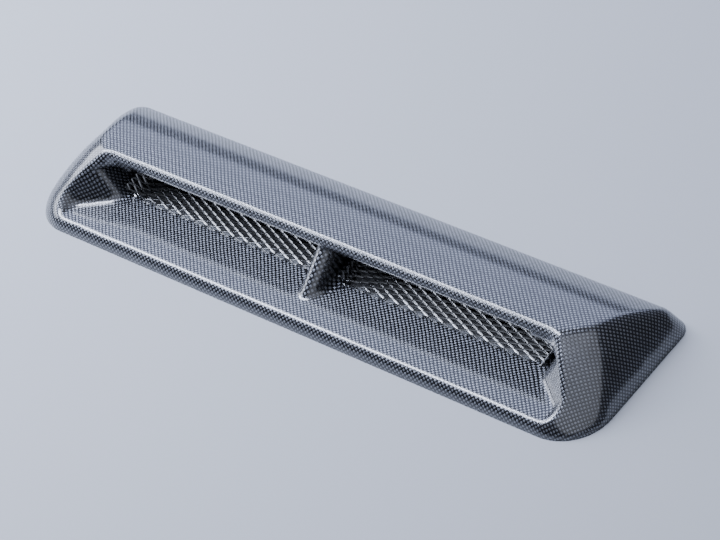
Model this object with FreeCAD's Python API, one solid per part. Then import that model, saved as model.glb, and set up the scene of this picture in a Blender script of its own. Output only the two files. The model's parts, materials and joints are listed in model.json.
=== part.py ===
import FreeCAD
import Part
import math
import os

V = FreeCAD.Vector

# Overall size, at the bottom rim
base_width = 578.0
base_depth = 150.0
front_corner_radius = 40.0
rear_corner_radius = 16.0
wall = 2.6

# Top panel: a shallow arc from the lip down to the rear roll
lip_crest_height = 47.5
rear_roll_depth = 6.0
rear_roll_height = 15.0
top_crown = 7.0
crease_radius = 16.0

# Rounded ends: an arc that leans in from the rim
end_run = 64.0
end_rise = 56.0
end_round = 90.0

# Front: a steep bead at the rim that blends into a raked face
bead_lean = 0.25
bead_height = 7.5
bead_blend = 1.5
mouth_rake = 1.23

# Mouth floor, falling towards the back
floor_front_height = 10.5
floor_fall = 0.095
floor_round = 6.0

# Mouth outline in plan, at the floor; its end walls lean outwards by the draft
mouth_front = 4.0
mouth_end_margin = 36.0
mouth_end_depth = 20.0
mouth_corner = 11.0
mouth_bend = 16.0
end_draft = 0.62
rim_round = 5.5

# Upper lip and the pocket behind it
lip_front = 59.0
lip_thickness = 13.0
lip_end_step = 42.0
lip_corner = 18.0
lip_round = 6.0
pocket_undercut = 12.0
pocket_bend = 12.0
pocket_back = 93.0
pocket_corner = 9.0

# Centre divider with its raked round nose
divider_nose = 23.0
divider_nose_height = 6.0
divider_thickness = 17.0
divider_rake = 1.286

# Expanded mesh panels and the throats under them
mesh_front = 52.5
mesh_thickness = 1.6
mesh_wall_gap = 6.5
mesh_flange = 11.0
mesh_lap = 5.0
strand = 1.7
diamond_long = 15.0
diamond_short = 7.2
throat_corner = 4.0

half_width = base_width / 2
mouth_half_width = half_width - mouth_end_margin
lip_half_width = mouth_half_width - lip_end_step
pocket_half_width = lip_half_width + pocket_undercut
lip_underside = lip_crest_height - lip_thickness
far_above = end_rise + 4.0
far_below = -4.0
loft_levels = [0.0, 5.0, 10.0, 16.0, 26.0, 38.0, end_rise - 2.0]


def polygon_wire(corners, z):
    """Closed wire at height z through (x, y, radius) corners, each one rounded by its radius."""
    count = len(corners)
    points = [V(x, y, z) for x, y, radius in corners]
    tangents = []
    arcs = []
    for i, (x, y, radius) in enumerate(corners):
        before = points[i - 1] - points[i]
        after = points[(i + 1) % count] - points[i]
        half_angle = before.getAngle(after) / 2
        before.normalize()
        after.normalize()
        reach = radius / math.tan(half_angle)
        tangents.append((points[i] + before * reach, points[i] + after * reach))
        middle = points[i] + (before + after).normalize() * (radius / math.sin(half_angle) - radius)
        arcs.append(Part.Arc(tangents[i][0], middle, tangents[i][1]).toShape() if radius else None)
    edges = []
    for i in range(count):
        if arcs[i]:
            edges.append(arcs[i])
        edges.append(Part.LineSegment(tangents[i][1], tangents[(i + 1) % count][0]).toShape())
    return Part.Wire(edges)


def grown(corners, by):
    """The same anticlockwise outline moved outwards; round corners keep their centres."""
    count = len(corners)
    result = []
    for i, (x, y, radius) in enumerate(corners):
        point = V(x, y, 0)
        into = point - V(corners[i - 1][0], corners[i - 1][1], 0)
        out = V(corners[(i + 1) % count][0], corners[(i + 1) % count][1], 0) - point
        into.normalize()
        out.normalize()
        normal_in = V(into.y, -into.x, 0)
        normal_out = V(out.y, -out.x, 0)
        shift = (normal_in + normal_out) * (by / (1 + normal_in.dot(normal_out)))
        turn = 1 if into.cross(out).z > 0 else -1
        result.append((x + shift.x, y + shift.y, radius + turn * by))
    return result


def front_at(z):
    """How far back the front surface lies at height z: the steep bead blends into the raked face."""
    steep = bead_lean * z
    raked = mouth_rake * (z - bead_height) + bead_lean * bead_height
    gap = mouth_rake * bead_height - bead_lean * bead_height
    start = math.hypot(gap / 2, bead_blend) - gap / 2
    return (steep + raked) / 2 + math.hypot((steep - raked) / 2, bead_blend) - start


def end_at(z):
    """Half width of the rounded ends at height z."""
    chord = math.hypot(end_run, end_rise)
    back = math.sqrt(end_round ** 2 - (chord / 2) ** 2)
    centre_x = half_width - end_run / 2 - back * end_rise / chord
    centre_z = end_rise / 2 - back * end_run / chord
    return centre_x + math.sqrt(end_round ** 2 - (z - centre_z) ** 2)


def rear_at(z):
    """How far back the rear roll lies at height z."""
    return base_depth - z * rear_roll_depth / rear_roll_height


def inset_at(curve, z, inset):
    """Level distance that leaves a wall of the given thickness square to the surface."""
    step = 0.1
    slope = (curve(z + step) - curve(z - step)) / (2 * step)
    return inset * math.sqrt(1 + slope ** 2)


def outer_form(inset):
    """The duct's outside as a solid, moved inwards by inset."""
    levels = list(loft_levels)
    if inset:
        levels[0] = far_below
    wires = []
    for z in levels:
        x = end_at(z) - inset_at(end_at, z, inset)
        front = front_at(z) + inset_at(front_at, z, inset)
        rear = rear_at(z) - inset_at(rear_at, z, inset)
        round_front = front_corner_radius - inset
        round_rear = rear_corner_radius - inset
        corners = [(-x, front, round_front), (x, front, round_front),
                   (x, rear, round_rear), (-x, rear, round_rear)]
        wires.append(polygon_wire(corners, z))
    sides = Part.makeLoft(wires, True, False)
    rear_knee = V(0, base_depth - rear_roll_depth, rear_roll_height)
    lip_crest = V(0, lip_front, lip_crest_height)
    chord = rear_knee - lip_crest
    radius = chord.Length ** 2 / (8 * top_crown) + top_crown / 2
    up = V(0, -chord.z, chord.y).normalize()
    centre = (rear_knee + lip_crest) * 0.5 - up * (radius - top_crown)
    top = Part.makeCylinder(radius - inset, base_width, V(-half_width, centre.y, centre.z), V(1, 0, 0))
    body = sides.common(top)
    crease = [edge for edge in body.Edges if is_crease(edge, centre, radius - inset)]
    return body.makeFillet(crease_radius - inset, crease)


def is_crease(edge, centre, radius):
    """True for an edge along the border of the top panel."""
    for share in (0.1, 0.5, 0.9):
        at = edge.valueAt(edge.FirstParameter + share * (edge.LastParameter - edge.FirstParameter))
        if abs(math.hypot(at.y - centre.y, at.z - centre.z) - radius) > 0.02:
            return False
    return True


def floor_at(y):
    """Height of the mouth's floor, y back from the front edge."""
    return floor_front_height - floor_fall * (y - mouth_front)


def mouth_side(z):
    """Right half of the mouth's outline in front of the lip, at height z."""
    lean = end_draft * (z - floor_front_height)
    ends = mouth_half_width + lean
    bend = mouth_front + mouth_end_depth
    return [(ends, mouth_front, mouth_corner), (ends, bend, mouth_bend),
            (lip_half_width + lean, lip_front, lip_corner)]


def pocket_side(z):
    """Right half of the outline of the mouth and the pocket behind the lip, at height z."""
    lean = end_draft * (z - floor_front_height)
    bend = mouth_front + mouth_end_depth
    share = (mouth_half_width - pocket_half_width) / (mouth_half_width - lip_half_width)
    turn = bend + share * (lip_front - bend)
    side = pocket_half_width + lean
    return mouth_side(z)[:2] + [(side, turn, pocket_bend), (side, pocket_back, pocket_corner)]


def drafted(side_outline, low, high, outset):
    """Solid between two heights, with both ends leaning outwards by the draft of the mouth's walls."""
    side = side_outline(low)
    front, back = side[0][1], side[-1][1]
    outline = side + [(-base_width, back, outset), (-base_width, front, outset)]
    corners = [(x, y, radius if x > 0 else 0) for x, y, radius in grown(outline, outset)]
    rise = high - low
    right = Part.Face(polygon_wire(corners, low)).extrude(V(end_draft * rise, 0, rise))
    return right.common(right.mirror(V(0, 0, 0), V(1, 0, 0)))


def across(points):
    """Prism across the whole width from a closed (y, z) outline."""
    corners = [V(-base_width, y, z) for y, z in points]
    return Part.Face(Part.makePolygon(corners + corners[:1])).extrude(V(2 * base_width, 0, 0))


def divider(outset):
    """Raked web with a round nose between the two halves of the mouth, thinned by outset on each side."""
    half = divider_thickness / 2 - outset
    root = divider_thickness / 2
    nose = Part.Arc(V(-half, root, 0), V(0, outset, 0), V(half, root, 0)).toShape()
    right_side = [V(half, root, 0), V(half, base_depth, 0)]
    left_side = [V(-half, base_depth, 0), V(-half, root, 0)]
    sides = Part.makePolygon(right_side + left_side)
    web = Part.Face(Part.Wire([nose] + sides.Edges)).extrude(V(0, 0, 2 * base_depth))
    web.translate(V(0, 0, -base_depth))
    web.rotate(V(0, 0, 0), V(1, 0, 0), -math.degrees(math.atan(divider_rake)))
    web.translate(V(0, divider_nose, divider_nose_height))
    return web


def lip_edge(outset):
    """The stretch under the lip's lower edge that rounds it off."""
    radius = lip_round - outset
    front = lip_front + outset
    under = lip_underside + outset
    centre = V(0, front + radius, under + radius)
    diagonal = radius * math.sqrt(0.5)
    middle = centre + V(0, -diagonal, -diagonal)
    arc = Part.Arc(V(0, front, centre.z), middle, V(0, centre.y, under)).toShape()
    legs = Part.makePolygon([V(0, centre.y, under), V(0, front, under), V(0, front, centre.z)])
    reach = lip_half_width + end_draft * (lip_underside - floor_front_height) - lip_corner
    profile = Part.Face(Part.Wire([arc] + legs.Edges))
    profile.translate(V(-reach, 0, 0))
    return profile.extrude(V(2 * reach, 0, 0))


def cavity(outset):
    """The mouth and its pocket as a solid, moved outwards by outset."""
    under = lip_underside + outset
    pocket = drafted(pocket_side, 2 * far_below, under, outset)
    mouth = drafted(mouth_side, under, far_above, outset)
    drop = outset * math.hypot(1, floor_fall)
    near, far = -base_depth, 2 * base_depth
    floor_line = [(near, floor_at(near) - drop), (far, floor_at(far) - drop)]
    sky = across(floor_line + [(far, 2 * far_above), (near, 2 * far_above)])
    pocket = pocket.common(sky).cut(divider(outset))
    floor_edges = [edge for edge in pocket.Edges if is_floor_edge(edge, drop)]
    pocket = pocket.makeFillet(floor_round + outset, floor_edges)
    above = mouth.fuse(lip_edge(outset)).cut(divider(outset))
    return pocket.fuse(above).removeSplitter()


def is_floor_edge(edge, drop):
    """True for an edge that lies in the mouth's floor."""
    for share in (0.0, 0.5, 1.0):
        at = edge.valueAt(edge.FirstParameter + share * (edge.LastParameter - edge.FirstParameter))
        if abs(at.z - floor_at(at.y) + drop) > 0.01:
            return False
    return True


def lies_on(edge, shape):
    """True for an edge all of whose length lies on a shape's surface."""
    for share in (0.15, 0.5, 0.85):
        at = edge.valueAt(edge.FirstParameter + share * (edge.LastParameter - edge.FirstParameter))
        if Part.Vertex(at).distToShape(shape.Shells[0])[0] > 0.01:
            return False
    return True


def round_rim(body, outer, hollow):
    """Round off the edge where the outside turns in to the mouth."""
    rim = [edge for edge in body.Edges if lies_on(edge, outer) and lies_on(edge, hollow)]
    return body.makeFillet(rim_round, rim)


def mesh_ends():
    """Where the right mesh panel starts and ends across the floor."""
    wall_foot = pocket_half_width + end_draft * (floor_at(pocket_back) - floor_front_height)
    return divider_thickness / 2 + mesh_wall_gap, wall_foot - mesh_wall_gap


def throats():
    """The two openings in the floor, inside the margins that carry the mesh panels."""
    inner, outer = mesh_ends()
    low, high = inner + mesh_lap, outer - mesh_lap
    front, back = mesh_front + mesh_lap, pocket_back - mesh_wall_gap - mesh_lap
    cuts = []
    for side in (1, -1):
        x_low, x_high = sorted((side * low, side * high))
        corners = [(x_low, front), (x_high, front), (x_high, back), (x_low, back)]
        wire = polygon_wire([(x, y, throat_corner) for x, y in corners], far_below)
        cuts.append(Part.Face(wire).extrude(V(0, 0, floor_front_height - far_below)))
    return cuts


def duct_shell():
    """The moulding: a thin wall that follows the outside, the mouth and the divider."""
    outer = outer_form(0)
    hollow = cavity(0)
    body = round_rim(outer.cut(hollow), outer, hollow)
    inside = outer_form(wall).cut(cavity(wall))
    return body.cut(inside).cut(throats())


def rhombus(centre, long_way, short_way, through):
    """Prism of one gap in the mesh."""
    points = [centre + long_way, centre + short_way, centre - long_way, centre - short_way]
    return Part.Face(Part.makePolygon(points + points[:1])).extrude(through)


def mesh_panel():
    """Right mesh panel: an expanded sheet on the floor, with both ends turned up along the walls."""
    inner, outer = mesh_ends()
    depth = (pocket_back - mesh_wall_gap - mesh_front) * math.hypot(1, floor_fall)
    lean = end_draft * mesh_flange
    side_thickness = mesh_thickness * math.hypot(1, end_draft)
    foot = outer - side_thickness + end_draft * mesh_thickness
    section = [(inner, mesh_flange), (inner, 0), (outer, 0), (outer + lean, mesh_flange),
               (outer + lean - side_thickness, mesh_flange), (foot, mesh_thickness),
               (inner + mesh_thickness, mesh_thickness), (inner + mesh_thickness, mesh_flange)]
    corners = [V(x, 0, z) for x, z in section]
    sheet = Part.Face(Part.makePolygon(corners + corners[:1])).extrude(V(0, depth, 0))
    half_long, half_short = diamond_long / 2, diamond_short / 2
    open_share = 1 - strand / 2 * math.hypot(half_long, half_short) / (half_long * half_short)
    gap_long, gap_short = half_long * open_share, half_short * open_share
    gaps = []
    rows = int((depth - strand - gap_short) / half_short) + 1
    for row in range(rows):
        x = inner + mesh_thickness + half_long + (half_long if row % 2 else 0)
        while x + half_long < foot:
            at = V(x, row * half_short, -mesh_thickness)
            gaps.append(rhombus(at, V(gap_long, 0, 0), V(0, gap_short, 0), V(0, 0, 3 * mesh_thickness)))
            x += diamond_long
    for notch in range(1, int(depth / diamond_short)):
        up, along = V(0, 0, gap_long), V(0, gap_short, 0)
        for x, through in ((inner - mesh_thickness, 3 * mesh_thickness), (foot, lean + 2 * side_thickness)):
            at = V(x, notch * diamond_short, mesh_flange)
            gaps.append(rhombus(at, up, along, V(through, 0, 0)))
    panel = sheet.cut(gaps)
    panel.rotate(V(0, 0, 0), V(1, 0, 0), -math.degrees(math.atan(floor_fall)))
    panel.translate(V(0, mesh_front, floor_at(mesh_front)))
    return panel


os.makedirs("parts", exist_ok=True)
to_centre = V(0, -base_depth / 2, 0)
right = mesh_panel()
left = right.mirror(V(0, 0, 0), V(1, 0, 0))
for name, shape in (("duct_shell", duct_shell()), ("mesh_left", left), ("mesh_right", right)):
    shape.translate(to_centre)
    shape.exportStep("parts/" + name + ".step")
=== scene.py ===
"""Looks of a carbon-fibre bonnet duct: its woven, clear-coated shell and its two expanded-metal panels."""

import json
import math

import bpy
import numpy as np
from mathutils import Euler, Matrix, Vector

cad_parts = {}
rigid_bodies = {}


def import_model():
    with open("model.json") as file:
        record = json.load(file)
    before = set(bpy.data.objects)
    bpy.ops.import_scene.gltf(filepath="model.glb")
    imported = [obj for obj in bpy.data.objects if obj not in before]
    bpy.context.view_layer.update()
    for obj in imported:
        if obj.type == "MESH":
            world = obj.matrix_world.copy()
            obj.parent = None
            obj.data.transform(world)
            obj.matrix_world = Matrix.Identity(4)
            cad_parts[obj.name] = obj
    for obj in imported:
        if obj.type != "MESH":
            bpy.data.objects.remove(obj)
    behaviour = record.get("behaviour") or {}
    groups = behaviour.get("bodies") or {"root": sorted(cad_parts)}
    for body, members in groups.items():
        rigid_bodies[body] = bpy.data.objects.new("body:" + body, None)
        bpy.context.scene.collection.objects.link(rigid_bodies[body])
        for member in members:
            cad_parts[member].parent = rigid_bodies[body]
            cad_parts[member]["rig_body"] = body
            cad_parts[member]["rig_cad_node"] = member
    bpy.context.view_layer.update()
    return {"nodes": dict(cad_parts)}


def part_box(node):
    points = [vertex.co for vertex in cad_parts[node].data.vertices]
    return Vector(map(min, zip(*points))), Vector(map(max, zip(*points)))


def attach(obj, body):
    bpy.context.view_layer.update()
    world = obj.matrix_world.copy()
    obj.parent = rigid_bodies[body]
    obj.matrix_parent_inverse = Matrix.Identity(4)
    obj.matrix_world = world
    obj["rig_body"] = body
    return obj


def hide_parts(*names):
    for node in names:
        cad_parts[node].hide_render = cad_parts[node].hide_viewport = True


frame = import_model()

bl_info = {
    "name": "Bonnet duct",
    "version": (1, 0, 0),
    "blender": (4, 5, 0),
    "location": "3D View > Sidebar > Duct",
    "description": "Dresses a carbon-fibre bonnet duct and sets its studio",
    "category": "Object",
}

MM = 0.001
ORIGIN = (0, 0, 0)
PANEL_LOW, PANEL_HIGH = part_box("mesh_right")

# Sockets of the Mix node by number, because their names are the same for every data type
MIX_NUMBERS, MIX_VECTORS, MIX_COLOURS = (2, 3), (4, 5), (6, 7)
MIXED_NUMBER, MIXED_VECTOR, MIXED_COLOUR = 0, 1, 2

# Weave: form of a tow, from 0 in the gaps to 1 on top, and how tows differ in tone
CLOTH_MAP = "cloth"
TOW_EDGE_POWER = 0.45
TOW_ARCH = 0.6
GAP_BELOW, FULL_TONE_ABOVE = 0.25, 0.75
DARKEST_TOW, LIGHTEST_TOW = 0.8, 1.15
POOLING_SAMPLES = 8

# Shell: merging of the frame's loose triangles, and the angles at which shading and cloth are cut
MERGE_DISTANCE = 0.004 * MM
SHELL_SMOOTH_ANGLE = math.radians(35)
CLOTH_CUT_ANGLE = math.radians(50)
LARGE_FACE_WEIGHT = 90

# Solving for the lie of the cloth
SOLVER_STEPS = 1500
SOLVER_SETTLED = 1e-18
LEAST_POWER = 1e-30
LEAST_STIFFNESS = 1e-12
LEAST_AREA = 1e-15
LEAST_LENGTH = 1e-9

# Expanded sheet: rolling marks, broken edges and tolerances
MARK_LENGTH = 3.2 * MM
MARK_WIDTH = 0.8 * MM
MARK_DEPTH = 0.02 * MM
SMOOTHEST_METAL, ROUGHEST_METAL = 0.16, 0.36
STRAND_EDGE = 0.1 * MM
SHEET_SMOOTH_ANGLE = math.radians(30)
DIVIDER_WALL_LEAN = math.radians(90)
HOLE_SHARE = 0.49
CELL_MERGE_DISTANCE = 0.01 * MM
FOLD_TOLERANCE = 0.001 * MM

# Soft boxes: name, place, point they face, size, power in watts and tone
SOFT_BOXES = (
    ("strip_box", (-0.95, -0.05, 1.42), (0, -0.03, 0.02), (0.4, 1.6), 85, "#e3ebff"),
    ("back_box", (-1.05, 1.25, 0.95), (0, 0, 0.02), (2.2, 1.5), 16, "#ccd8ff"),
    ("top_box", (-0.4, 0.5, 2.6), ORIGIN, (3.0, 3.0), 8, "#eaefff"),
    ("right_box", (1.1, -0.5, 1.5), (0.2, 0, 0), (2.6, 2.6), 20, "#e9efff"),
    ("left_box", (-1.6, -0.2, 0.6), (-0.2, 0, 0), (1.2, 0.7), 16, "#e9efff"),
)
SENSOR_WIDTH = 36


def linear(hex_colour):
    """Linear RGB of an sRGB hex colour."""
    channels = [int(hex_colour[i:i + 2], 16) / 255 for i in (1, 3, 5)]
    return [c / 12.92 if c <= 0.04045 else ((c + 0.055) / 1.055) ** 2.4 for c in channels]


class ClothSettings(bpy.types.PropertyGroup):
    """Woven carbon under its clear coat."""

    tow_width: bpy.props.FloatProperty(
        name="Tow width", description="Distance from one tow of the plain weave to the next",
        default=2.0 * MM, unit="LENGTH", precision=4)
    tow_height: bpy.props.FloatProperty(
        name="Tow height", description="How far a tow stands up where it crosses over another",
        default=0.16 * MM, unit="LENGTH", precision=5)
    wander: bpy.props.FloatProperty(
        name="Wander", description="How far the tows stray from a straight line",
        default=0.7 * MM, unit="LENGTH", precision=5)
    wander_length: bpy.props.FloatProperty(
        name="Wander length", description="Distance over which a tow strays and comes back",
        default=45 * MM, unit="LENGTH", precision=4)
    # The tows across are painted lighter and the tows front to back darker: painted sheen and painted shade
    # for the way light glances off fibres running each way, not two colours of carbon.
    across_sheen_tone: bpy.props.FloatVectorProperty(
        name="Tows across", description="Tone of the tows that run across the duct",
        default=linear("#7c7f87"), subtype="COLOR", size=3)
    along_shade_tone: bpy.props.FloatVectorProperty(
        name="Tows front to back", description="Tone of the tows that run from front to back",
        default=linear("#2b2b30"), subtype="COLOR", size=3)
    gap_tone: bpy.props.FloatVectorProperty(
        name="Gaps", description="Tone of the resin in the gaps between the tows",
        default=linear("#0c0d10"), subtype="COLOR", size=3)
    coat_pool: bpy.props.FloatProperty(
        name="Coat pooling", description="Distance over which the thick lacquer evens out an edge",
        default=5 * MM, unit="LENGTH", precision=4)


class PanelSettings(bpy.types.PropertyGroup):
    """Expanded aluminium sheet."""

    diamond_long: bpy.props.FloatProperty(
        name="Diamond length", description="Long way of one diamond, across the duct",
        default=14.8 * MM, unit="LENGTH", precision=4)
    diamond_short: bpy.props.FloatProperty(
        name="Diamond width", description="Short way of one diamond, from front to back",
        default=5.9 * MM, unit="LENGTH", precision=4)
    strand: bpy.props.FloatProperty(
        name="Strand width", description="Width of a strand between two diamonds",
        default=1.2 * MM, unit="LENGTH", precision=4)
    gauge: bpy.props.FloatProperty(
        name="Gauge", description="Thickness of the sheet before it was expanded",
        default=0.8 * MM, unit="LENGTH", precision=5)
    strand_tilt: bpy.props.FloatProperty(
        name="Strand tilt", description="How far the expanding turned the strands out of the sheet",
        default=math.radians(22), subtype="ANGLE")
    flange: bpy.props.FloatProperty(
        name="Turned-up end", description="Height of the ends that are turned up along the walls",
        default=11 * MM, unit="LENGTH", precision=4)
    wall_lean: bpy.props.FloatProperty(
        name="Wall lean", description="Angle from the floor of the end wall that the outer end follows",
        default=math.radians(58), subtype="ANGLE")
    floor_fall: bpy.props.FloatProperty(
        name="Floor fall", description="Angle by which the duct's floor falls towards the back",
        default=math.atan(0.095), subtype="ANGLE")
    metal_tone: bpy.props.FloatVectorProperty(
        name="Metal", description="Tone of the bright aluminium",
        default=linear("#8e8f91"), subtype="COLOR", size=3)


class StageSettings(bpy.types.PropertyGroup):
    """Floor, light and camera."""

    floor_tone: bpy.props.FloatVectorProperty(
        name="Floor", description="Tone of the pale floor",
        default=linear("#a6a9af"), subtype="COLOR", size=3)
    floor_size: bpy.props.FloatProperty(
        name="Floor size", description="Length of the floor's sides",
        default=12.0, unit="LENGTH")
    air_tone: bpy.props.FloatVectorProperty(
        name="Surroundings", description="Tone of the soft light from all round",
        default=linear("#8f939b"), subtype="COLOR", size=3)
    air_strength: bpy.props.FloatProperty(
        name="Surroundings strength", description="Strength of the light from all round", default=0.12)
    camera_turn: bpy.props.FloatProperty(
        name="Camera turn", description="Direction of the camera round the duct, from straight ahead",
        default=math.radians(49.51), subtype="ANGLE")
    camera_rise: bpy.props.FloatProperty(
        name="Camera rise", description="Height of the camera as an angle above the floor",
        default=math.radians(42.35), subtype="ANGLE")
    camera_roll: bpy.props.FloatProperty(
        name="Camera roll", description="Turn of the camera about its own line of sight",
        default=math.radians(-16.06), subtype="ANGLE")
    camera_distance: bpy.props.FloatProperty(
        name="Camera distance", description="Distance from the camera to the point it looks at",
        default=2.2825, unit="LENGTH")
    camera_aim: bpy.props.FloatVectorProperty(
        name="Camera aim", description="Point that the camera looks at",
        default=(31.8 * MM, -9.7 * MM, 20.0 * MM), subtype="TRANSLATION", size=3)
    camera_lens: bpy.props.FloatProperty(
        name="Lens", description="Focal length in millimetres on a 36 mm wide sensor", default=144.92)


def add_node(tree, kind, inputs=(), **settings):
    """Adds one node: settings are its options, inputs are numbers, colours or sockets to link."""
    node = tree.nodes.new(kind)
    for name, value in settings.items():
        setattr(node, name, value)
    set_inputs(tree, node, dict(inputs))
    return node


def set_inputs(tree, node, inputs):
    """Sets a node's inputs to numbers and colours, or links them to sockets."""
    for key, value in inputs.items():
        if isinstance(value, bpy.types.NodeSocket):
            tree.links.new(value, node.inputs[key])
        else:
            node.inputs[key].default_value = value


def new_material(name):
    """A material with an untouched Principled shader, as (material, tree, shader)."""
    material = bpy.data.materials.new(name)
    material.use_nodes = True
    return material, material.node_tree, material.node_tree.nodes["Principled BSDF"]


def count_tows(tree, cloth):
    """Place on the cloth counted in tows, with a slow wander, split into X across and Y front to back."""
    place = add_node(tree, "ShaderNodeUVMap", uv_map=CLOTH_MAP).outputs["UV"]
    stray = add_node(tree, "ShaderNodeTexNoise",
                     {"Vector": place, "Scale": 1 / cloth.wander_length, "Detail": 1.0})
    offset = add_node(tree, "ShaderNodeVectorMath", {0: stray.outputs["Color"], 1: (0.5, 0.5, 0.5)},
                      operation="SUBTRACT")
    strayed = add_node(tree, "ShaderNodeVectorMath",
                       {0: offset.outputs[0], 1: (2 * cloth.wander,) * 3, 2: place}, operation="MULTIPLY_ADD")
    counted = add_node(tree, "ShaderNodeVectorMath",
                       {0: strayed.outputs[0], "Scale": 1 / cloth.tow_width}, operation="SCALE")
    return add_node(tree, "ShaderNodeSeparateXYZ", {0: counted.outputs[0]})


def plain_weave(tree, cloth):
    """Sockets of the weave: its height, the way the upper tow runs (0 across, 1 front to back)
    and the number of that tow."""
    axes = count_tows(tree, cloth)
    humps = []
    tows = []
    for axis in ("X", "Y"):
        tow = add_node(tree, "ShaderNodeMath", {0: axes.outputs[axis]}, operation="FLOOR")
        turn = add_node(tree, "ShaderNodeMath", {0: axes.outputs[axis], 1: math.pi}, operation="MULTIPLY")
        wave = add_node(tree, "ShaderNodeMath", {0: turn.outputs[0]}, operation="SINE")
        hump = add_node(tree, "ShaderNodeMath", {0: wave.outputs[0]}, operation="ABSOLUTE")
        tows.append(tow.outputs[0])
        humps.append(hump.outputs[0])
    both = add_node(tree, "ShaderNodeMath", {0: tows[0], 1: tows[1]}, operation="ADD")
    over = add_node(tree, "ShaderNodeMath", {0: both.outputs[0], 1: 1.0}, operation="PINGPONG").outputs[0]
    profiles = []
    for across, along in ((humps[1], humps[0]), (humps[0], humps[1])):
        edge = add_node(tree, "ShaderNodeMath", {0: across, 1: TOW_EDGE_POWER}, operation="POWER")
        arch = add_node(tree, "ShaderNodeMath", {0: along, 1: TOW_ARCH, 2: 1 - TOW_ARCH},
                        operation="MULTIPLY_ADD")
        profile = add_node(tree, "ShaderNodeMath", {0: edge.outputs[0], 1: arch.outputs[0]},
                           operation="MULTIPLY")
        profiles.append(profile.outputs[0])
    height = add_node(tree, "ShaderNodeMix", {0: over, **dict(zip(MIX_NUMBERS, profiles))})
    upper = add_node(tree, "ShaderNodeMix", {0: over, **dict(zip(MIX_NUMBERS, reversed(tows)))})
    return height.outputs[MIXED_NUMBER], over, upper.outputs[MIXED_NUMBER]


def weave_colour(tree, cloth, height, over, upper):
    """Colour socket of the weave: tows across painted lighter and tows front to back painted darker as
    painted sheen and shade, each tow a little different, and dark resin in the gaps.
    """
    # Painted sheen on the tows across and painted shade on the tows front to back, picked by which tow lies
    # on top.
    sheen_and_shade_tones = ((*cloth.across_sheen_tone, 1), (*cloth.along_shade_tone, 1))
    tone = add_node(tree, "ShaderNodeMix", {0: over, **dict(zip(MIX_COLOURS, sheen_and_shade_tones))}, data_type="RGBA")
    batch = add_node(tree, "ShaderNodeTexWhiteNoise", {"W": upper}, noise_dimensions="1D")
    shade = add_node(tree, "ShaderNodeMapRange",
                     {"Value": batch.outputs["Value"], "To Min": DARKEST_TOW, "To Max": LIGHTEST_TOW})
    varied = add_node(tree, "ShaderNodeVectorMath",
                      {0: tone.outputs[MIXED_COLOUR], "Scale": shade.outputs[0]}, operation="SCALE")
    depth = add_node(tree, "ShaderNodeMapRange",
                     {"Value": height, "From Min": GAP_BELOW, "From Max": FULL_TONE_ABOVE})
    layers = ((*cloth.gap_tone, 1), varied.outputs[0])
    colour = add_node(tree, "ShaderNodeMix", {0: depth.outputs[0], **dict(zip(MIX_COLOURS, layers))},
                      data_type="RGBA")
    return colour.outputs[MIXED_COLOUR]


def carbon_cloth(cloth):
    """Plain-weave carbon under clear lacquer: dull grey tows that catch light by their direction,
    set below a smooth wet-looking coat."""
    material, tree, shader = new_material("lacquered_carbon_cloth")
    height, over, upper = plain_weave(tree, cloth)
    evened = add_node(tree, "ShaderNodeBevel", {"Radius": cloth.coat_pool}, samples=POOLING_SAMPLES)
    evened = evened.outputs["Normal"]
    bump = add_node(tree, "ShaderNodeBump",
                    {"Height": height, "Distance": cloth.tow_height, "Normal": evened})
    u_way = add_node(tree, "ShaderNodeTangent", direction_type="UV_MAP", uv_map=CLOTH_MAP).outputs[0]
    v_way = add_node(tree, "ShaderNodeVectorMath", {0: evened, 1: u_way}, operation="CROSS_PRODUCT")
    fibres = add_node(tree, "ShaderNodeMix", {0: over, **dict(zip(MIX_VECTORS, (v_way.outputs[0], u_way)))},
                      data_type="VECTOR")
    set_inputs(tree, shader, {
        "Base Color": weave_colour(tree, cloth, height, over, upper),
        "Normal": bump.outputs["Normal"],
        "Tangent": fibres.outputs[MIXED_VECTOR],
        "Anisotropic": 0.8,
        "Metallic": 0.8,
        "Roughness": 0.42,
        "Coat Normal": evened,
        "Coat Weight": 1.0,
        "Coat Roughness": 0.12,
        "Coat IOR": 1.75,
    })
    return material


def bright_sheet(panel):
    """Mill-bright aluminium, slit and stretched: clean metal with faint rolling marks along the sheet."""
    material, tree, shader = new_material("expanded_aluminium")
    place = add_node(tree, "ShaderNodeTexCoord").outputs["Object"]
    drawn = add_node(tree, "ShaderNodeMapping", {"Vector": place, "Scale": (MARK_WIDTH / MARK_LENGTH, 1, 1)})
    marks = add_node(tree, "ShaderNodeTexNoise",
                     {"Vector": drawn.outputs[0], "Scale": 1 / MARK_WIDTH, "Detail": 3.0}).outputs["Fac"]
    rough = add_node(tree, "ShaderNodeMapRange",
                     {"Value": marks, "To Min": SMOOTHEST_METAL, "To Max": ROUGHEST_METAL})
    bump = add_node(tree, "ShaderNodeBump", {"Height": marks, "Distance": MARK_DEPTH})
    set_inputs(tree, shader, {
        "Base Color": (*panel.metal_tone, 1),
        "Metallic": 1.0,
        "Roughness": rough.outputs[0],
        "Normal": bump.outputs["Normal"],
    })
    return material


def pale_floor(stage):
    """Matt painted board: a pale, even tone with hardly any shine."""
    material, tree, shader = new_material("pale_board")
    set_inputs(tree, shader, {
        "Base Color": (*stage.floor_tone, 1),
        "Roughness": 0.6,
        "Specular IOR Level": 0.2,
    })
    return material


def make_active(piece):
    """Makes one object the only selected and active one."""
    bpy.ops.object.select_all(action="DESELECT")
    piece.select_set(True)
    bpy.context.view_layer.objects.active = piece


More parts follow.
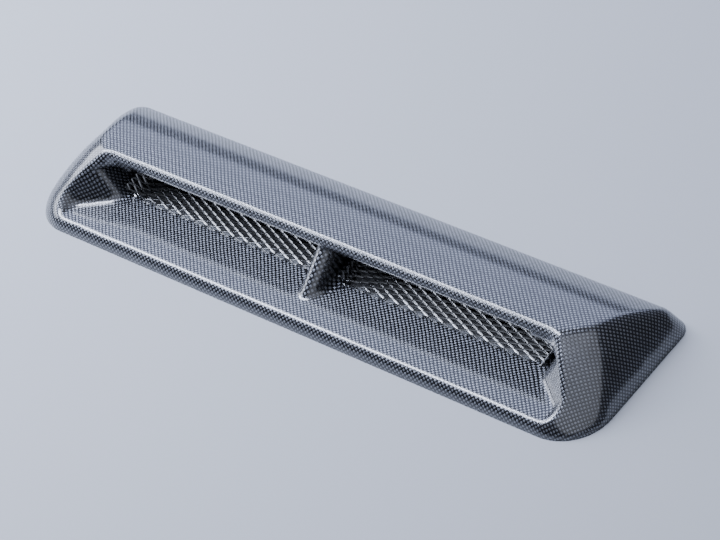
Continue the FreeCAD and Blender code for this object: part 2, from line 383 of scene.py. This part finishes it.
def apply_modifier(piece, kind, **settings):
    """Adds a modifier with its settings and applies it."""
    make_active(piece)
    bpy.ops.object.modifier_add(type=kind)
    modifier = piece.modifiers[-1]
    for name, value in settings.items():
        setattr(modifier, name, value)
    bpy.ops.object.modifier_apply(modifier=modifier.name)


def edit_all():
    """Puts the active object in edit mode with all of it selected."""
    bpy.ops.object.mode_set(mode="EDIT")
    bpy.ops.mesh.select_all(action="SELECT")


def end_edit():
    """Goes back to object mode."""
    bpy.ops.object.mode_set(mode="OBJECT")


def select_where(piece, test):
    """Selects the vertices whose place passes the test, and leaves the piece in edit mode."""
    bpy.ops.object.mode_set(mode="EDIT")
    bpy.ops.mesh.select_mode(type="VERT")
    bpy.ops.mesh.select_all(action="DESELECT")
    end_edit()
    for vertex in piece.data.vertices:
        vertex.select = test(vertex.co)
    bpy.ops.object.mode_set(mode="EDIT")


def chart_corners(mesh, crease):
    """One number for each triangle corner; corners that meet across an edge flatter than crease share it."""
    corners = np.array([p.vertices[:] for p in mesh.polygons])
    normals = np.array([p.normal[:] for p in mesh.polygons])
    parent = list(range(corners.size))

    def root(i):
        while parent[i] != i:
            parent[i] = parent[parent[i]]
            i = parent[i]
        return i

    edges = {}
    for face, triple in enumerate(corners):
        for k in range(3):
            pair = (triple[k], triple[(k + 1) % 3])
            ends = {pair[0]: 3 * face + k, pair[1]: 3 * face + (k + 1) % 3}
            other = edges.setdefault(frozenset(pair), (face, ends))
            if other[0] != face and normals[face] @ normals[other[0]] > math.cos(crease):
                for vertex, corner in ends.items():
                    parent[root(corner)] = root(other[1][vertex])
    roots = np.array([root(i) for i in range(corners.size)])
    return np.unique(roots, return_inverse=True)[1].reshape(-1, 3)


def solve_potential(chart, slopes, areas, wanted, start):
    """Values at the chart's points whose slope on every triangle comes closest to the wanted direction,
    by conjugate gradients."""
    count = len(start)
    push = areas[:, None] * np.einsum("fki,fi->fk", slopes, wanted)
    stiff = areas[:, None, None] * np.einsum("fki,fli->fkl", slopes, slopes)
    target = np.bincount(chart.ravel(), push.ravel(), count)
    diagonal = np.bincount(chart.ravel(), np.einsum("fkk->fk", stiff).ravel(), count) + LEAST_STIFFNESS

    def apply(values):
        local = np.einsum("fkl,fl->fk", stiff, values[chart])
        return np.bincount(chart.ravel(), local.ravel(), count)

    values = start.copy()
    left = target - apply(values)
    scaled = left / diagonal
    step = scaled.copy()
    power = left @ scaled
    for _ in range(SOLVER_STEPS):
        moved = apply(step)
        length = power / max(step @ moved, LEAST_POWER)
        values += length * step
        left -= length * moved
        scaled = left / diagonal
        new_power = left @ scaled
        if new_power < SOLVER_SETTLED:
            break
        step = scaled + (new_power / power) * step
        power = new_power
    return values


def drape_cloth(mesh, crease):
    """Lays the cloth's UV map, in metres, over the mesh: u runs across the duct, v from front to back."""
    corners = np.array([p.vertices[:] for p in mesh.polygons])
    points = np.array([v.co[:] for v in mesh.vertices])
    a, b, c = (points[corners[:, k]] for k in range(3))
    cross = np.cross(b - a, c - a)
    double = np.linalg.norm(cross, axis=1) + LEAST_AREA
    normals = cross / double[:, None]
    slopes = np.stack([np.cross(normals, side) for side in (c - b, a - c, b - a)], 1) / double[:, None, None]
    across = np.array([1.0, 0, 0]) - normals[:, :1] * normals
    across /= np.linalg.norm(across, axis=1)[:, None] + LEAST_LENGTH
    back = np.cross(normals, across)
    chart = chart_corners(mesh, crease)
    start = np.zeros((chart.max() + 1, 3))
    start[chart.ravel()] = points[corners.ravel()]
    u = solve_potential(chart, slopes, double / 2, across, start[:, 0])
    v = solve_potential(chart, slopes, double / 2, back, start[:, 1])
    layer = mesh.uv_layers.new(name=CLOTH_MAP)
    laid = np.stack([u[chart.ravel()], v[chart.ravel()]], 1)
    layer.data.foreach_set("uv", laid.astype(np.float32).ravel())


class DUCT_OT_shell(bpy.types.Operator):
    """Makes the moulded carbon shell from the frame's own surface and lays the cloth over it"""

    bl_idname = "duct.shell"
    bl_label = "Carbon shell"

    def execute(self, context):
        make_active(frame["nodes"]["duct_shell"])
        bpy.ops.object.duplicate()
        shell = context.object
        shell.name = shell.data.name = "carbon_shell"
        # The copy is a new piece, so it drops the marks of a frame node
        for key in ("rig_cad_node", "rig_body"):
            if key in shell:
                del shell[key]
        bpy.ops.mesh.customdata_custom_splitnormals_clear()
        edit_all()
        bpy.ops.mesh.remove_doubles(threshold=MERGE_DISTANCE)
        bpy.ops.mesh.dissolve_degenerate(threshold=MERGE_DISTANCE)
        bpy.ops.mesh.quads_convert_to_tris()
        end_edit()
        bpy.ops.object.shade_smooth_by_angle(angle=SHELL_SMOOTH_ANGLE)
        drape_cloth(shell.data, CLOTH_CUT_ANGLE)
        apply_modifier(shell, "WEIGHTED_NORMAL", keep_sharp=True, weight=LARGE_FACE_WEIGHT)
        shell.data.materials.clear()
        shell.data.materials.append(carbon_cloth(context.scene.duct_cloth))
        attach(shell, "root")
        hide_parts("duct_shell")
        return {"FINISHED"}


def expanded_cell(panel):
    """One diamond of the expanded sheet, its strands tilted out of the sheet."""
    bpy.ops.object.select_all(action="DESELECT")
    bpy.ops.mesh.primitive_circle_add(vertices=4, radius=0.5, fill_type="NGON")
    cell = bpy.context.object
    edit_all()
    bpy.ops.transform.resize(value=(panel.diamond_long, panel.diamond_short, 1), center_override=ORIGIN)
    bpy.ops.mesh.inset(thickness=panel.strand / 2, use_even_offset=True)
    bpy.ops.mesh.delete(type="ONLY_FACE")

    def in_hole(at):
        return abs(at.x) / panel.diamond_long + abs(at.y) / panel.diamond_short < HOLE_SHARE

    select_where(cell, in_hole)
    bpy.ops.mesh.bevel(affect="VERTICES", offset=panel.strand / 2, segments=2)
    select_where(cell, in_hole)
    bpy.ops.transform.rotate(value=panel.strand_tilt, orient_axis="X", center_override=ORIGIN)
    end_edit()
    return cell


def flat_sheet(panel, length, depth):
    """The expanded sheet lying flat, its near left corner at the origin."""
    sheet = expanded_cell(panel)
    half = Vector((panel.diamond_long / 2, panel.diamond_short / 2, 0))
    edit_all()
    bpy.ops.mesh.duplicate()
    bpy.ops.transform.translate(value=half)
    bpy.ops.mesh.select_all(action="SELECT")
    bpy.ops.transform.translate(value=(0, half.y, 0))
    end_edit()
    for axis, pitch, span in ((0, panel.diamond_long, length), (1, panel.diamond_short, depth)):
        step = Vector(ORIGIN)
        step[axis] = pitch
        apply_modifier(sheet, "ARRAY", count=math.ceil(span / pitch) + 1, use_relative_offset=False,
                       use_constant_offset=True, constant_offset_displace=step)
    edit_all()
    bpy.ops.mesh.remove_doubles(threshold=CELL_MERGE_DISTANCE)
    for co, no in ((ORIGIN, (-1, 0, 0)), ((length, 0, 0), (1, 0, 0)), ((0, depth, 0), (0, 1, 0))):
        bpy.ops.mesh.select_all(action="SELECT")
        bpy.ops.mesh.bisect(plane_co=co, plane_no=no, clear_outer=True)
    end_edit()
    return sheet


def turn_up(sheet, fold, side, angle):
    """Turns up what lies beyond the fold line, on the side given as 1 or -1."""
    edit_all()
    bpy.ops.mesh.bisect(plane_co=(fold, 0, 0), plane_no=(1, 0, 0))
    select_where(sheet, lambda at: side * (at.x - fold) > FOLD_TOLERANCE)
    bpy.ops.transform.rotate(value=side * angle, orient_axis="Y", center_override=(fold, 0, 0))
    end_edit()


def right_panel(panel):
    """The right panel: a sheet with both ends turned up, given its gauge and laid on the duct's floor."""
    reach = panel.flange / math.sin(panel.wall_lean)
    flat = PANEL_HIGH.x - PANEL_LOW.x - reach * math.cos(panel.wall_lean)
    depth = (PANEL_HIGH.y - PANEL_LOW.y) / math.cos(panel.floor_fall)
    right = flat_sheet(panel, panel.flange + flat + reach, depth)
    right.name = right.data.name = "mesh_panel_right"
    turn_up(right, panel.flange + flat, 1, panel.wall_lean)
    turn_up(right, panel.flange, -1, DIVIDER_WALL_LEAN)
    apply_modifier(right, "SOLIDIFY", thickness=panel.gauge, offset=0, use_even_offset=True)
    apply_modifier(right, "BEVEL", width=STRAND_EDGE, segments=1, limit_method="ANGLE")
    edit_all()
    bpy.ops.mesh.normals_make_consistent(inside=False)
    bpy.ops.transform.rotate(value=-panel.floor_fall, orient_axis="X", center_override=ORIGIN)
    end_edit()
    low = Vector([min(v.co[i] for v in right.data.vertices) for i in range(3)])
    edit_all()
    bpy.ops.transform.translate(value=PANEL_LOW - low)
    end_edit()
    bpy.ops.object.shade_smooth_by_angle(angle=SHEET_SMOOTH_ANGLE)
    right.data.materials.append(bright_sheet(panel))
    return right


def left_panel(right):
    """The left panel: the right one mirrored across the duct's middle, faces turned outwards again."""
    make_active(right)
    bpy.ops.object.duplicate()
    left = bpy.context.object
    left.name = left.data.name = "mesh_panel_left"
    edit_all()
    bpy.ops.transform.resize(value=(-1, 1, 1), center_override=ORIGIN)
    bpy.ops.mesh.normals_make_consistent(inside=False)
    end_edit()
    return left


class DUCT_OT_mesh_panels(bpy.types.Operator):
    """Makes the two expanded-metal panels over the throats, with their ends turned up"""

    bl_idname = "duct.mesh_panels"
    bl_label = "Mesh panels"

    def execute(self, context):
        right = right_panel(context.scene.duct_panel)
        left = left_panel(right)
        for piece, node in ((right, "mesh_right"), (left, "mesh_left")):
            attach(piece, "root")
            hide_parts(node)
        return {"FINISHED"}


def soft_light(name, place, aim, size, power, tone):
    """A rectangular soft box that faces the aim."""
    bpy.ops.object.light_add(type="AREA", location=place)
    box = bpy.context.object
    box.name = name
    box.rotation_euler = (Vector(aim) - Vector(place)).to_track_quat("-Z", "Y").to_euler()
    box.data.shape = "RECTANGLE"
    box.data.size, box.data.size_y = size
    box.data.energy = power
    box.data.color = linear(tone)


def lay_floor(stage):
    """The plain pale floor under the duct."""
    bpy.ops.object.select_all(action="DESELECT")
    bpy.ops.mesh.primitive_plane_add(size=stage.floor_size)
    floor = bpy.context.object
    floor.name = floor.data.name = "floor"
    floor.data.materials.append(pale_floor(stage))


def fill_air(stage):
    """Faint even light from all round."""
    world = bpy.data.worlds.new("soft_surroundings")
    world.use_nodes = True
    air = world.node_tree.nodes["Background"]
    set_inputs(world.node_tree, air, {"Color": (*stage.air_tone, 1), "Strength": stage.air_strength})
    bpy.context.scene.world = world


def place_camera(stage):
    """The camera, turned and rolled about the point it looks at."""
    turn = Euler((math.pi / 2 - stage.camera_rise, 0, stage.camera_turn)).to_matrix()
    turn = turn @ Matrix.Rotation(stage.camera_roll, 3, "Z")
    place = Vector(stage.camera_aim) + turn @ Vector((0, 0, stage.camera_distance))
    bpy.ops.object.camera_add(location=place, rotation=turn.to_euler())
    camera = bpy.context.object
    camera.data.lens = stage.camera_lens
    camera.data.sensor_width = SENSOR_WIDTH
    bpy.context.scene.camera = camera


class DUCT_OT_stage(bpy.types.Operator):
    """Lays the floor, sets the soft lights and places the camera"""

    bl_idname = "duct.stage"
    bl_label = "Stage"

    def execute(self, context):
        stage = context.scene.duct_stage
        lay_floor(stage)
        fill_air(stage)
        for box in SOFT_BOXES:
            soft_light(*box)
        place_camera(stage)
        return {"FINISHED"}


class DUCT_PT_panel(bpy.types.Panel):
    """Sidebar panel with the duct's sizes, tones and steps"""

    bl_idname = "DUCT_PT_panel"
    bl_label = "Bonnet duct"
    bl_space_type = "VIEW_3D"
    bl_region_type = "UI"
    bl_category = "Duct"

    def draw(self, context):
        scene = context.scene
        groups = (
            (scene.duct_cloth, DUCT_OT_shell.bl_idname),
            (scene.duct_panel, DUCT_OT_mesh_panels.bl_idname),
            (scene.duct_stage, DUCT_OT_stage.bl_idname),
        )
        for group, operator in groups:
            box = self.layout.box()
            for name in group.__annotations__:
                box.prop(group, name)
            box.operator(operator)


CLASSES = (ClothSettings, PanelSettings, StageSettings,
           DUCT_OT_shell, DUCT_OT_mesh_panels, DUCT_OT_stage, DUCT_PT_panel)


def register():
    for made in CLASSES:
        bpy.utils.register_class(made)
    bpy.types.Scene.duct_cloth = bpy.props.PointerProperty(type=ClothSettings)
    bpy.types.Scene.duct_panel = bpy.props.PointerProperty(type=PanelSettings)
    bpy.types.Scene.duct_stage = bpy.props.PointerProperty(type=StageSettings)


def unregister():
    del bpy.types.Scene.duct_stage
    del bpy.types.Scene.duct_panel
    del bpy.types.Scene.duct_cloth
    for made in reversed(CLASSES):
        bpy.utils.unregister_class(made)


def main():
    """Registers the classes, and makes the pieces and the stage."""
    register()
    bpy.ops.duct.shell()
    bpy.ops.duct.mesh_panels()
    bpy.ops.duct.stage()


if __name__ == "__main__":
    main()
